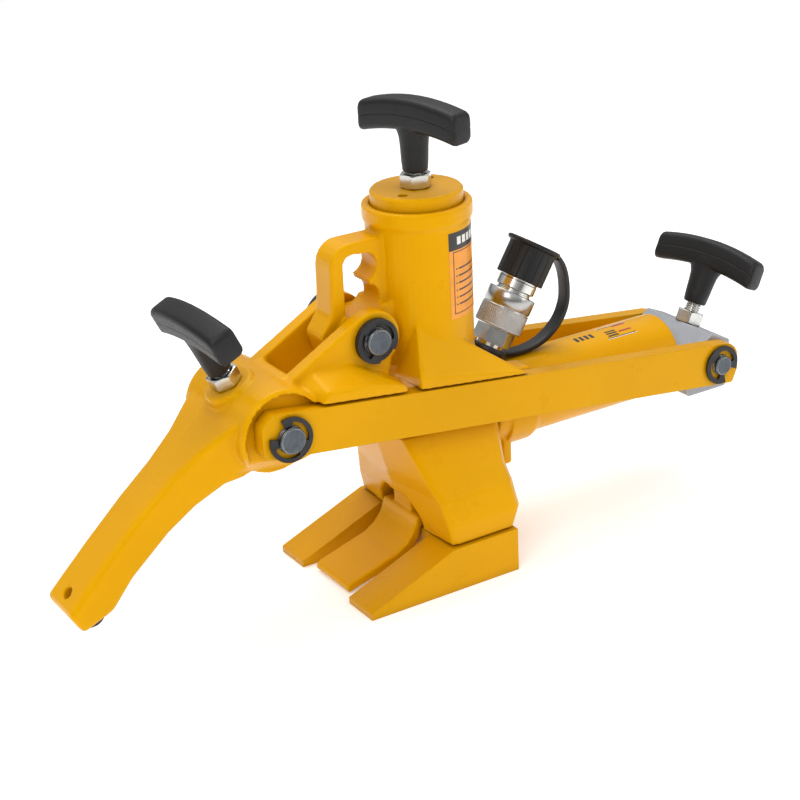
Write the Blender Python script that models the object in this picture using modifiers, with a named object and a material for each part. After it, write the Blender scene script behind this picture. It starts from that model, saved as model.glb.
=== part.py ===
"""Hydraulic bead breaker with a clamping arm, modelled as separate pieces.

The tool stands on its push foot. The main cylinder stands on the Z axis, the clamp
cylinder points along +X and the clamp arm reaches out along -X. Lengths in this
script are millimetres and become metres as the meshes are made.
"""
import math

import bmesh
import bpy
from mathutils import Matrix, Vector

MM = 0.001
GAP = 0.3                      # play between pieces that touch
RUN = 0.4                      # play between pieces that move on each other

# Main cylinder
TOWER_R = 35.2
COLLAR_R = 36.8
COLLAR_Z = 258.8
CAP_R = 31.0
CAP_Z = 267.5
BORE_R = 26.0
BORE_FLOOR_Z = 142.0
ROD_R = 16.0
BODY_Z = 108.0

# Clamp cylinder
BARREL_Z = 100.7
BARREL_R = 29.0
BARREL_END_X = 203.0
BARREL_BORE_R = 22.0
CLAMP_ROD_R = 11.0

# Linkage pivots in the XZ plane
UPPER_PIN = (-53.6, 181.2)
LOWER_PIN = (-130.8, 139.7)
REAR_PIN = (224.6, 100.2)
PIN_R = 9.0
REAR_PIN_R = 7.2
RING_R = 15.2
REAR_RING_R = 14.4

# Side plates
PLATE_INNER_Y = 37.0
PLATE_OUTER_Y = 48.0
PLATE_SLOPE = -0.119
PLATE_BOTTOM_Z = 111.3         # height of the lower edge at x = 0
PLATE_DEPTH = 31.3

# Clamp arm
CHEEK_INNER_Y = 16.5
CHEEK_OUTER_Y = 27.5
HUB_R = 30.5
HUB_Y = 42.5
SPOTFACE_R = 27.5
SPOTFACE_Y = 36.6

# Push foot and jaw block
FOOT_HALF_Y = 61.8
FOOT_FRONT_X = -87.2
FOOT_REAR_X = 32.0
FOOT_BREAK_X = -20.5
FOOT_Z = 31.7
FOOT_TIP_Z = 4.7
PRONG_INNER_Y = 31.5
BLOCK_Z = 33.0

# Jam nuts, studs and T-handles: base point and lean of each axis in the XZ plane
STUD_R = 5.8
NUT_FLATS = 19.0
NUT_H = 9.5
HANDLE_LEN = 84.0
TOP_MOUNT = (0.0, CAP_Z, 0.0)
ARM_MOUNT = (-148.0, 167.0, -25.0)
RIDGE = (226.0, 119.8)                 # top edge of the crosshead
REAR_LEAN = 24.0
REAR_STUD_X = 234.0
REAR_MOUNT = (REAR_STUD_X, RIDGE[1] - (REAR_STUD_X - RIDGE[0]) * math.tan(math.radians(REAR_LEAN)), REAR_LEAN)
TOP_TURN = 16.0
ARM_TURN = 2.0
REAR_TURN = 18.0

# Quick coupler: a point on its axis and its lean toward +X
COUPLER_BASE = (57.0, 147.0)
COUPLER_LEAN = 32.0
CAP_FLANGE_R = 19.6
SLEEVE_R = 17.0

BIG = 48
MEDIUM = 32
SMALL = 20

PAINT = (0.86, 0.42, 0.004, 1.0)
PLASTIC = (0.015, 0.015, 0.016, 1.0)
ZINC = (0.62, 0.62, 0.60, 1.0)
STEEL = (0.38, 0.39, 0.40, 1.0)
GREY_PAINT = (0.30, 0.32, 0.35, 1.0)
BRONZE = (0.55, 0.36, 0.12, 1.0)
RUBBER = (0.02, 0.02, 0.02, 1.0)


def clear_scene():
    for obj in list(bpy.data.objects):
        bpy.data.objects.remove(obj, do_unlink=True)
    for name in ("bead_breaker", "cutters"):
        old = bpy.data.collections.get(name)
        if old:
            bpy.data.collections.remove(old)


def make_collection(name):
    collection = bpy.data.collections.new(name)
    bpy.context.scene.collection.children.link(collection)
    return collection


clear_scene()
PARTS = make_collection("bead_breaker")
CUTTERS = make_collection("cutters")


def material(name, colour, roughness, metallic):
    mat = bpy.data.materials.new(name)
    mat.use_nodes = True
    shader = mat.node_tree.nodes["Principled BSDF"]
    shader.inputs["Base Color"].default_value = colour
    shader.inputs["Roughness"].default_value = roughness
    shader.inputs["Metallic"].default_value = metallic
    return mat


FINISHES = {
    "paint": (PAINT, 0.35, 0.0),
    "plastic": (PLASTIC, 0.55, 0.0),
    "zinc": (ZINC, 0.3, 1.0),
    "steel": (STEEL, 0.35, 1.0),
    "grey": (GREY_PAINT, 0.5, 0.3),
    "bronze": (BRONZE, 0.35, 1.0),
    "rubber": (RUBBER, 0.7, 0.0),
}


# ---------------------------------------------------------------- placing

def along_y(y):
    """Local X, Y and Z become world X, Z and -Y, at the given y."""
    return Matrix.Translation((0.0, y * MM, 0.0)) @ Matrix.Rotation(math.radians(90), 4, "X")


def axis_frame(x, z, lean, turn=0.0):
    """Local +Z leans toward +X by `lean` degrees, turned about itself by `turn`."""
    place = Matrix.Translation((x * MM, 0.0, z * MM))
    tilt = Matrix.Rotation(math.radians(lean), 4, "Y")
    return place @ tilt @ Matrix.Rotation(math.radians(turn), 4, "Z")


def pin_frame(pivot):
    """Local +Z points to -Y through a pivot in the XZ plane."""
    place = Matrix.Translation((pivot[0] * MM, 0.0, pivot[1] * MM))
    return place @ Matrix.Rotation(math.radians(90), 4, "X")


X_AXIS = Matrix.Rotation(math.radians(90), 4, "Y")


def barrel_frame(x):
    """Local +Z points to +X along the clamp cylinder."""
    return Matrix.Translation((x * MM, 0.0, BARREL_Z * MM)) @ X_AXIS


# ---------------------------------------------------------------- shapes

def place_object(name, mesh, matrix):
    """A finished piece goes to the parts; a name starting with 'cut' is a cutter."""
    obj = bpy.data.objects.new(name, mesh)
    obj.matrix_world = matrix
    if name.startswith("cut"):
        CUTTERS.objects.link(obj)
        obj.hide_render = True
        obj.display_type = "WIRE"
    else:
        PARTS.objects.link(obj)
    return obj


def finish(obj, finish_name):
    colour, roughness, metallic = FINISHES[finish_name]
    obj.data.materials.append(material(obj.name, colour, roughness, metallic))
    return obj


def turned(name, profile, matrix, steps=MEDIUM):
    """A (radius, height) profile turned about local Z; a loop that is off the axis is closed."""
    mesh = bpy.data.meshes.new(name)
    points = [(r * MM, 0.0, z * MM) for r, z in profile]
    edges = [(i, i + 1) for i in range(len(points) - 1)]
    if profile[0][0] > 0.0:
        edges.append((len(points) - 1, 0))
    mesh.from_pydata(points, edges, [])
    obj = place_object(name, mesh, matrix)
    screw = obj.modifiers.new("turn", "SCREW")
    screw.steps = steps
    screw.render_steps = steps
    screw.use_merge_vertices = True
    screw.merge_threshold = 0.00005
    screw.use_smooth_shade = True
    return obj


def tube_profile(outer, inner, top, bottom, chamfer=0.0):
    """A ring's section, outer side first, top to bottom."""
    return [(outer - chamfer, top), (outer, top - chamfer), (outer, bottom), (inner, bottom), (inner, top)] \
        if chamfer else [(outer, top), (outer, bottom), (inner, bottom), (inner, top)]


def rod_profile(radius, top, bottom, chamfer=0.0):
    if chamfer:
        return [(0.0, top), (radius - chamfer, top), (radius, top - chamfer),
                (radius, bottom + chamfer), (radius - chamfer, bottom), (0.0, bottom)]
    return [(0.0, top), (radius, top), (radius, bottom), (0.0, bottom)]


def cylinder(name, radius, bottom, top, matrix, steps=MEDIUM, chamfer=0.0):
    return turned(name, rod_profile(radius, top, bottom, chamfer), matrix, steps)


def rounded(corners, steps=4):
    """Outline points from (u, v, radius) corners, each corner rounded by its radius."""
    out = []
    count = len(corners)
    for i, (u, v, radius) in enumerate(corners):
        here = Vector((u, v))
        if radius <= 0.0:
            out.append(here)
            continue
        back = (Vector(corners[i - 1][:2]) - here).normalized()
        ahead = (Vector(corners[(i + 1) % count][:2]) - here).normalized()
        half = back.angle(ahead) / 2.0
        centre = here + (back + ahead).normalized() * radius / math.sin(half)
        start = here + back * radius / math.tan(half) - centre
        end = here + ahead * radius / math.tan(half) - centre
        sweep = start.angle_signed(end)
        for k in range(steps + 1):
            turn = Matrix.Rotation(-sweep * k / steps, 2)
            out.append(centre + turn @ start)
    return out


def slab(name, outline, thickness, matrix, bevel=0.0):
    """A flat outline extruded to a plate, as a mesh; `bevel` rounds its edges."""
    curve = bpy.data.curves.new(name, "CURVE")
    curve.dimensions = "2D"
    curve.fill_mode = "BOTH"
    curve.extrude = thickness * MM / 2.0
    spline = curve.splines.new("POLY")
    spline.points.add(len(outline) - 1)
    for point, (u, v) in zip(spline.points, outline):
        point.co = (u * MM, v * MM, 0.0, 1.0)
    spline.use_cyclic_u = True
    source = bpy.data.objects.new(name + "_curve", curve)
    CUTTERS.objects.link(source)
    return mesh_from(source, name, matrix, bevel)


def mesh_from(source, name, matrix, bevel=0.0):
    """The evaluated curve as a welded mesh object; the curve is removed."""
    bpy.context.view_layer.update()
    evaluated = source.evaluated_get(bpy.context.evaluated_depsgraph_get())
    mesh = bpy.data.meshes.new_from_object(evaluated)
    bpy.data.objects.remove(source, do_unlink=True)
    work = bmesh.new()
    work.from_mesh(mesh)
    bmesh.ops.remove_doubles(work, verts=work.verts, dist=0.00001)
    bmesh.ops.recalc_face_normals(work, faces=work.faces)
    work.to_mesh(mesh)
    work.free()
    obj = place_object(name, mesh, matrix)
    if bevel:
        add_bevel(obj, bevel)
    return obj


def add_bevel(obj, width, segments=2, angle=40.0):
    mod = obj.modifiers.new("round", "BEVEL")
    mod.width = width * MM
    mod.segments = segments
    mod.limit_method = "ANGLE"
    mod.angle_limit = math.radians(angle)


def hull(name, points, matrix=Matrix.Identity(4)):
    """The convex body around a few corner points."""
    mesh = bpy.data.meshes.new(name)
    work = bmesh.new()
    for point in points:
        work.verts.new(Vector(point) * MM)
    result = bmesh.ops.convex_hull(work, input=work.verts)
    inside = [v for v in result["geom_interior"] if isinstance(v, bmesh.types.BMVert)]
    bmesh.ops.delete(work, geom=inside, context="VERTS")
    bmesh.ops.dissolve_limit(work, angle_limit=math.radians(1.0), verts=work.verts, edges=work.edges)
    bmesh.ops.recalc_face_normals(work, faces=work.faces)
    work.to_mesh(mesh)
    work.free()
    return place_object(name, mesh, matrix)


def box(name, low, high):
    corners = [(x, y, z) for x in (low[0], high[0]) for y in (low[1], high[1]) for z in (low[2], high[2])]
    return hull(name, corners)


def loft(name, sections):
    """Rings of equal length joined in order, with the first and last closed."""
    mesh = bpy.data.meshes.new(name)
    work = bmesh.new()
    rings = [[work.verts.new(Vector(p) * MM) for p in section] for section in sections]
    size = len(rings[0])
    for ring, after in zip(rings, rings[1:]):
        for i in range(size):
            k = (i + 1) % size
            work.faces.new((ring[i], ring[k], after[k], after[i]))
    work.faces.new(rings[0])
    work.faces.new(list(reversed(rings[-1])))
    bmesh.ops.recalc_face_normals(work, faces=work.faces)
    work.to_mesh(mesh)
    work.free()
    return place_object(name, mesh, Matrix.Identity(4))


def hexagon(name, flats, bottom, top, matrix):
    radius = flats / math.sqrt(3.0)
    outline = [(radius * math.cos(math.radians(60 * i + 30)), radius * math.sin(math.radians(60 * i + 30)))
               for i in range(6)]
    middle = Matrix.Translation((0.0, 0.0, (bottom + top) / 2.0 * MM))
    return slab(name, outline, top - bottom, matrix @ middle)


def combine(obj, tools, operation, solver):
    for tool in tools:
        mod = obj.modifiers.new(operation.lower(), "BOOLEAN")
        mod.operation = operation
        mod.solver = solver
        mod.object = tool
    return obj


def join(obj, *tools, solver="EXACT"):
    return combine(obj, tools, "UNION", solver)


def cut(obj, *tools, solver="EXACT"):
    return combine(obj, tools, "DIFFERENCE", solver)


def plate_top(x):
    return PLATE_BOTTOM_Z + PLATE_DEPTH + PLATE_SLOPE * x


def plate_bottom(x):
    return PLATE_BOTTOM_Z + PLATE_SLOPE * x


def circle_corners(centre, radius, start, end, steps):
    """Arc points about a centre from one angle to another, in degrees."""
    angles = [math.radians(start + (end - start) * k / steps) for k in range(steps + 1)]
    return [(centre[0] + radius * math.cos(a), centre[1] + radius * math.sin(a)) for a in angles]


# ---------------------------------------------------------------- main casting

SHOULDER_FRONT_X = -32.0
SHOULDER_REAR_X = 54.0
SHOULDER_TOP_Z = 190.0
COUPLER_BAY_Y = 19.0
LUG_HALF_Y = CHEEK_INNER_Y - 0.6
HANDLE_HALF_Y = 10.5


def tower_profile():
    top = COLLAR_Z
    return [(0.0, top), (COLLAR_R - 1.0, top), (COLLAR_R, top - 1.0), (COLLAR_R, top - 9.5),
            (TOWER_R, top - 13.0), (TOWER_R, BODY_Z + 6.0), (TOWER_R - 4.0, BODY_Z), (0.0, BODY_Z)]


def handle_outline():
    """Side view of the D-handle and the lug that holds the upper pin."""
    corners = [(-20.0, 243.0, 0.0), (-73.0, 243.0, 15.0), (-74.5, 197.0, 8.0), (-84.0, 184.0, 5.0),
               (-78.0, 166.0, 9.0), (-58.0, 160.0, 0.0), (-20.0, 152.0, 0.0)]
    return rounded(corners, 5)


def finger_gap_outline():
    """Straight in front, with two finger scallops at the back."""
    front = [(-64.0, 193.0), (-64.0, 230.0), (-61.5, 234.0), (-57.0, 235.0)]
    upper = circle_corners((-48.0, 225.0), 9.5, 70.0, -76.0, 7)
    lower = circle_corners((-47.5, 203.5), 9.5, 76.0, -70.0, 7)
    return front + upper + lower


def lug_outline():
    return circle_corners(UPPER_PIN, 18.0, 90.0, 230.0, 10) + [(-45.0, 158.0), (-22.0, 150.0), (-22.0, 199.2)]


def shoulder(side):
    """Sloping flank that rises from a side plate's top edge to the main cylinder."""
    y = side * (PLATE_OUTER_Y - 0.3)
    low = [(x, y, plate_top(x) + 0.45) for x in (SHOULDER_FRONT_X, SHOULDER_REAR_X)]
    step = [(x, y, plate_top(x) + rise) for x, rise in ((SHOULDER_FRONT_X, 9.0), (SHOULDER_REAR_X - 6.0, 2.5))]
    inner = [(SHOULDER_FRONT_X, 0.0, plate_top(SHOULDER_FRONT_X) + 0.45), (26.0, 0.0, plate_top(26.0) + 0.45),
             (SHOULDER_REAR_X, side * (COUPLER_BAY_Y + 11.0), plate_top(SHOULDER_REAR_X) + 0.45)]
    high = [(-20.0, side * 25.0, SHOULDER_TOP_Z), (-6.0, side * 25.0, SHOULDER_TOP_Z - 12.0),
            (-20.0, 0.0, SHOULDER_TOP_Z), (-6.0, 0.0, SHOULDER_TOP_Z - 12.0)]
    return hull("cut_shoulder_%+d" % side, low + step + inner + high)


def flank(side):
    """Upright wall between a side plate and the bay that the coupler stands in."""
    sides = (side * COUPLER_BAY_Y, side * (PLATE_INNER_Y - 0.7))
    low = [(x, y, 110.0) for x in (-30.0, 64.5) for y in sides]
    high = [(x, y, plate_top(x) + 1.0) for x in (-30.0, 64.5) for y in sides]
    wall = hull("cut_flank_%+d" % side, low + high)
    add_bevel(wall, 2.0)
    return wall


def port_boss():
    profile = [(0.0, -13.0), (13.5, -13.0), (15.0, -15.0), (16.0, -36.0), (0.0, -36.0)]
    return turned("cut_port_boss", profile, coupler_frame())


def main_casting():
    body = turned("main_casting", tower_profile(), Matrix.Identity(4), BIG)
    inner_y = PLATE_INNER_Y - 0.7
    core = box("cut_core", (-33.0, -inner_y, BODY_Z), (64.0, inner_y, 126.0))
    add_bevel(core, 3.0)
    saddle = box("cut_saddle", (10.0, -COUPLER_BAY_Y - 1.0, 112.0), (43.5, COUPLER_BAY_Y + 1.0, 132.0))
    barrel = cylinder("cut_barrel", BARREL_R, 42.0, BARREL_END_X, barrel_frame(0.0), BIG)
    belly = turned("cut_belly", [(0.0, 84.0), (25.0, 84.0), (29.5, 74.0), (29.5, 53.0), (0.0, 53.0)],
                   Matrix.Translation((0.0, 0.0, -3.6 * MM)) @ barrel_frame(0.0), BIG)
    lug = slab("cut_lug", lug_outline(), 2.0 * LUG_HALF_Y, along_y(0.0))
    handle = slab("cut_handle", handle_outline(), 2.0 * HANDLE_HALF_Y, along_y(0.0), 2.5)
    drain = box("cut_drain_boss", (49.0, -21.0, 59.0), (57.2, -11.0, 104.3))
    add_bevel(drain, 1.5)
    join(body, core, saddle, flank(-1), flank(1), shoulder(-1), shoulder(1), barrel, belly, drain, lug, handle,
         port_boss(), solver="MANIFOLD")
    cut(body,
        slab("cut_finger_gap", finger_gap_outline(), 40.0, along_y(0.0)),
        cylinder("cut_cap_seat", CAP_R + RUN, COLLAR_Z - 13.0, COLLAR_Z + 5.0, Matrix.Identity(4), BIG),
        cylinder("cut_main_bore", BORE_R, BORE_FLOOR_Z, COLLAR_Z - 10.0, Matrix.Identity(4), BIG),
        cylinder("cut_bush_seat", 20.0, BODY_Z + 8.0, BORE_FLOOR_Z + 5.0, Matrix.Identity(4)),
        cylinder("cut_rod_hole", ROD_R + 1.0, BODY_Z - 5.0, BODY_Z + 12.0, Matrix.Identity(4)),
        cylinder("cut_clamp_bore", BARREL_BORE_R, 0.0, 140.0, barrel_frame(84.0), BIG),
        cylinder("cut_upper_bore", PIN_R + GAP, -40.0, 40.0, pin_frame(UPPER_PIN)),
        cylinder("cut_port", 10.0, -30.0, -5.0, coupler_frame(), SMALL),
        solver="MANIFOLD")
    return finish(body, "paint")


def cylinder_cap():
    cap = turned("cylinder_cap", [(0.0, CAP_Z), (CAP_R - 1.5, CAP_Z), (CAP_R, CAP_Z - 1.5),
                                  (CAP_R, COLLAR_Z - 12.7), (0.0, COLLAR_Z - 12.7)], Matrix.Identity(4), BIG)
    holes = [cylinder("cut_stud_seat", STUD_R + GAP, CAP_Z - 14.0, CAP_Z + 5.0, Matrix.Identity(4), SMALL)]
    angle = math.radians(34.0)
    for side in (-1, 1):
        reach = side * 21.5 * MM
        place = Matrix.Translation((reach * math.cos(angle), reach * math.sin(angle), 0.0))
        holes.append(cylinder("cut_spanner_%+d" % side, 3.4, CAP_Z - 7.0, CAP_Z + 5.0, place, SMALL))
    cut(cap, *holes)
    return finish(cap, "paint")


# ---------------------------------------------------------------- main ram

def ram_pieces():
    rod = cylinder("ram_rod", ROD_R, 18.5, 227.6, Matrix.Identity(4), MEDIUM, 1.0)
    finish(rod, "steel")
    skirt = BORE_R - 0.3
    groove = BORE_R - 3.2
    piston = turned("ram_piston", [(0.0, 244.5), (BORE_R - 1.5, 244.5), (skirt, 243.0), (skirt, 239.5),
                                   (groove, 239.5), (groove, 235.5), (skirt, 235.5), (skirt, 228.0), (0.0, 228.0)],
                    Matrix.Identity(4))
    finish(piston, "steel")
    seal = turned("ram_seal", tube_profile(BORE_R - 0.2, groove + 0.2, 239.2, 235.8), Matrix.Identity(4))
    finish(seal, "rubber")
    section = tube_profile(19.7, ROD_R + 0.2, BORE_FLOOR_Z - 0.3, BODY_Z + 8.3)
    finish(turned("ram_bush", section, Matrix.Identity(4)), "bronze")


def spring(name, mean_r, wire_r, start, end, turns, matrix, per_turn=14):
    """A round-wire compression spring along local Z."""
    curve = bpy.data.curves.new(name, "CURVE")
    curve.dimensions = "3D"
    curve.bevel_depth = wire_r * MM
    curve.bevel_resolution = 1
    curve.use_fill_caps = True
    count = turns * per_turn
    points = curve.splines.new("POLY").points
    points.add(count)
    for i, point in enumerate(points):
        angle = 2.0 * math.pi * i / per_turn
        z = start + wire_r + (end - start - 2.0 * wire_r) * i / count
        point.co = (mean_r * math.cos(angle) * MM, mean_r * math.sin(angle) * MM, z * MM, 1.0)
    source = bpy.data.objects.new(name + "_curve", curve)
    CUTTERS.objects.link(source)
    return finish(mesh_from(source, name, matrix), "steel")


def springs():
    spring("main_return_spring", 21.0, 1.6, BORE_FLOOR_Z + 0.5, 227.2, 5, Matrix.Identity(4))
    spring("clamp_return_spring", 16.5, 1.3, 115.5, 183.0, 6, barrel_frame(0.0))


# ---------------------------------------------------------------- jaw block, tongue, foot

def jaw_block():
    """Guide block that flares out toward the push foot, with an arched mouth in front."""
    levels = [
        (BODY_Z - GAP, -43.0, -39.0, 40.0, 32.0),
        (76.0, -34.5, -30.0, 35.0, 48.0),
        (65.0, -31.0, -25.5, 36.0, 55.0),
        (46.0, -28.0, -22.0, 38.5, 59.5),
        (BLOCK_Z, -24.0, -19.5, 34.0, 59.0),
    ]
    sections = []
    for z, prow, front, rear, half in levels:
        sections.append([(prow, 0.0, z), (front, half - 1.0, z), (front + 4.0, half, z), (rear - 5.0, half, z),
                         (rear, half - 5.0, z), (rear, 5.0 - half, z), (rear - 5.0, -half, z),
                         (front + 4.0, -half, z), (front, 1.0 - half, z)])
    block = loft("jaw_block", sections)
    mouth = rounded([(-26.5, BLOCK_Z - 6.0, 0.0), (26.5, BLOCK_Z - 6.0, 0.0), (25.0, 45.0, 6.0),
                     (14.0, 56.0, 7.0), (-14.0, 56.0, 7.0), (-25.0, 45.0, 6.0)], 4)
    front_view = Matrix.Rotation(math.radians(90), 4, "Z") @ Matrix.Rotation(math.radians(90), 4, "X")
    arch = slab("cut_mouth", mouth, 60.0, Matrix.Translation((-43.0 * MM, 0.0, 0.0)) @ front_view)
    cut(block, arch, cylinder("cut_block_bore", ROD_R + 0.6, BLOCK_Z - 5.0, BODY_Z + 5.0, Matrix.Identity(4)))
    return finish(block, "paint")


def tongue_outline():
    """Side view of the bent tongue: a shallow ramp that curls up into the block."""
    under = [(-82.5, 3.4), (-81.0, 1.2), (-40.0, 12.0), (-30.0, 17.0), (-23.0, 26.0), (-21.2, 33.6)]
    root = [(-17.2, 33.6), (-17.2, 41.5)]
    top = [(-24.5, 41.5), (-26.0, 36.0), (-28.5, 30.5), (-33.5, 24.5), (-42.0, 19.0), (-81.0, 7.4)]
    return under + root + top


def tongue():
    plate = slab("guide_tongue", tongue_outline(), 44.0, along_y(0.0), 1.0)
    join(plate, box("cut_tongue_root", (-22.5, -11.0, 38.0), (-17.8, 11.0, 55.7)))
    return finish(plate, "paint")


def push_foot():
    side = [(FOOT_FRONT_X, 0.0), (FOOT_REAR_X, 0.0), (FOOT_REAR_X, FOOT_Z), (FOOT_BREAK_X, FOOT_Z),
            (FOOT_FRONT_X, FOOT_TIP_Z)]
    foot = slab("push_foot", side, 2.0 * FOOT_HALF_Y, along_y(0.0))
    cut(foot,
        box("cut_prong_gap", (FOOT_FRONT_X - 10.0, -PRONG_INNER_Y, -5.0),
            (FOOT_BREAK_X, PRONG_INNER_Y, FOOT_Z + 5.0)),
        cylinder("cut_foot_socket", ROD_R + GAP, 18.0, FOOT_Z + 5.0, Matrix.Identity(4)),
        cylinder("cut_set_screw", 4.3, 14.0, FOOT_REAR_X + 5.0,
                 Matrix.Translation((0.0, 0.0, 25.0 * MM)) @ X_AXIS, SMALL))
    finish(foot, "paint")
    screw = cylinder("foot_set_screw", 4.0, 16.6, FOOT_REAR_X - 1.5,
                     Matrix.Translation((0.0, 0.0, 25.0 * MM)) @ X_AXIS, SMALL, 0.5)
    finish(screw, "steel")


# ---------------------------------------------------------------- clamp arm

def arm_sections():
    """Stations along the beam: upper point, lower point and half width."""
    stations = [
        ((-278.5, 48.5), (-270.0, 34.0), 19.6),
        ((-264.0, 63.5), (-248.0, 43.0), 18.8),
        ((-249.5, 78.0), (-232.5, 61.0), 18.4),
        ((-222.5, 103.0), (-205.5, 84.0), 18.4),
        ((-201.0, 120.5), (-186.0, 97.0), 19.0),
        ((-182.0, 135.5), (-166.0, 108.5), 23.5),
        ((-164.0, 149.5), (-148.0, 115.0), 33.0),
        ((-143.0, 162.5), (-130.0, 112.5), 38.0),
    ]
    rings = []
    for (ux, uz), (lx, lz), half in stations:
        rings.append([(ux, -half, uz), (ux, half, uz), (lx, half, lz), (lx, -half, lz)])
    return rings


def cheek_outline():
    radius = 19.4
    tangent = circle_corners(UPPER_PIN, radius, 119.0, -50.0, 12)
    return [(-140.0, 155.0)] + tangent + [(-44.5, 150.0), (-50.0, 137.0), (-70.0, 126.0), (-112.0, 113.0)]


def cheek_flare(side):
    """Flank that brings a cheek out flush with the side plate below it."""
    inner = side * (CHEEK_OUTER_Y - 0.5)
    outer = side * (PLATE_OUTER_Y - 0.3)
    high = [(-116.0, 162.5), (-102.0, 171.0), (-76.0, 171.0), (-45.0, 155.5)]
    low = [(-104.5, plate_top(-104.5) + 0.45), (-41.5, plate_top(-41.5) + 0.45)]
    points = [(x, inner, z) for x, z in high]
    points += [(x, inner, z) for x, z in low]
    points += [(x, outer, z) for x, z in low]
    points += [(-101.0, outer, plate_top(-101.0) + 8.0), (-72.0, outer, plate_top(-72.0) + 9.0),
               (-43.0, outer, plate_top(-43.0) + 5.0)]
    return hull("cut_flare_%+d" % side, points)


def hub_relief(side):
    """Slope that takes the hub's lower rim up to the side plate's lower edge."""
    points = []
    for x in (-172.0, -92.0):
        points += [(x, side * 27.0, plate_bottom(x) - 14.0), (x, side * 52.0, plate_bottom(x) + 11.0)]
        points += [(x, side * 27.0, 90.0), (x, side * 52.0, 90.0)]
    return hull("cut_relief_%+d" % side, points)


def clamp_arm():
    arm = loft("clamp_arm", arm_sections())
    add_bevel(arm, 3.0, 2, 25.0)
    hub = cylinder("cut_hub", HUB_R, -HUB_Y, HUB_Y, pin_frame(LOWER_PIN), BIG, 3.0)
    web_side = rounded([(-146.0, 164.0, 4.0), (-150.0, 120.0, 4.0), (-110.0, 113.0, 8.0), (-104.0, 150.0, 8.0),
                        (-112.0, 170.0, 6.0)])
    web = slab("cut_web", web_side, 2.0 * CHEEK_INNER_Y + 8.0, along_y(0.0))
    tools = [hub, web]
    middle = (CHEEK_INNER_Y + CHEEK_OUTER_Y) / 2.0
    for side in (-1, 1):
        tools.append(slab("cut_cheek_%+d" % side, cheek_outline(), CHEEK_OUTER_Y - CHEEK_INNER_Y,
                          along_y(side * middle), 1.5))
        tools.append(cheek_flare(side))
    mount = axis_frame(*ARM_MOUNT)
    boss = [(0.0, 0.0), (15.7, 0.0), (17.2, -1.5), (18.2, -21.0), (0.0, -21.0)]
    tools.append(turned("cut_arm_boss", boss, mount))
    join(arm, *tools, solver="MANIFOLD")
    cutters = [cylinder("cut_hub_bore", PIN_R + GAP, -60.0, 60.0, pin_frame(LOWER_PIN)),
               cylinder("cut_cheek_bore", PIN_R + GAP, -60.0, 60.0, pin_frame(UPPER_PIN)),
               cylinder("cut_arm_stud", STUD_R + GAP, -13.0, 5.0, mount, SMALL)]
    slot = [(-131.0, plate_top(-131.0) + 0.45), (-131.0, 98.0), (-39.0, 92.0), (-39.0, plate_top(-39.0) + 0.45)]
    for side in (-1, 1):
        depth = 30.0
        centre = side * (SPOTFACE_Y + depth / 2.0)
        cutters.append(cylinder("cut_spotface_%+d" % side, SPOTFACE_R, -depth / 2.0, depth / 2.0,
                                Matrix.Translation((0.0, centre * MM, 0.0)) @ pin_frame(LOWER_PIN), BIG))
        cutters.append(slab("cut_plate_way_%+d" % side, slot, depth, along_y(centre)))
        cutters.append(hub_relief(side))
    tip_hole = axis_frame(-271.5, 56.0, -46.0)
    cutters.append(cylinder("cut_tip_hole", 4.2, -14.0, 10.0, tip_hole, SMALL))
    cut(arm, *cutters, solver="MANIFOLD")
    finish(arm, "paint")
    face = axis_frame(-259.0, 38.4, 157.8)
    dome = [(0.0, 10.5), (4.5, 10.0), (8.0, 7.5), (9.0, 4.0), (9.0, 0.4), (0.0, 0.4)]
    return finish(turned("arm_tip_pad", dome, face, SMALL), "rubber")


# ---------------------------------------------------------------- side plates, pins and rings

def plate_outline():
    """Long bar with a squared ear in front and a rounded end at the rear pin."""
    rear_x = REAR_PIN[0] + 16.5
    corners = [(-150.0, plate_bottom(-150.0), 7.0), (REAR_PIN[0] + 12.0, plate_bottom(REAR_PIN[0] + 12.0), 3.0),
               (rear_x, plate_bottom(rear_x) + 11.0, 6.0), (rear_x, plate_top(rear_x), 13.0),
               (-142.5, plate_top(-142.5) - 1.2, 3.0), (-150.0, plate_top(-150.0) - 9.0, 4.0)]
    return rounded(corners)


def side_plates():
    middle = (PLATE_INNER_Y + PLATE_OUTER_Y) / 2.0
    for name, side in (("side_plate_near", -1), ("side_plate_far", 1)):
        plate = slab(name, plate_outline(), PLATE_OUTER_Y - PLATE_INNER_Y, along_y(side * middle), 1.2)
        cut(plate,
            cylinder("cut_%s_front" % name, PIN_R + GAP, -60.0, 60.0, pin_frame(LOWER_PIN)),
            cylinder("cut_%s_rear" % name, REAR_PIN_R + GAP, -60.0, 60.0, pin_frame(REAR_PIN)))
        finish(plate, "paint")


def grooved_pin(name, radius, near, far, pivot, groove_near, groove_far=None, head=None):
    """A pin along Y with a ring groove at each end, or a head at the far end."""
    deep = radius - 1.1
    profile = [(0.0, near), (radius - 0.8, near), (radius, near - 0.8)]
    profile += [(radius, groove_near + 1.1), (deep, groove_near + 1.1), (deep, groove_near - 1.1),
                (radius, groove_near - 1.1)]
    if head:
        profile += [(radius, -far), (head[0], -far), (head[0], -far - head[1]), (0.0, -far - head[1])]
    else:
        profile += [(radius, -groove_far + 1.1), (deep, -groove_far + 1.1), (deep, -groove_far - 1.1),
                    (radius, -groove_far - 1.1), (radius, 0.8 - far), (radius - 0.8, -far), (0.0, -far)]
    return finish(turned(name, profile, pin_frame(pivot), MEDIUM), "steel")


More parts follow.
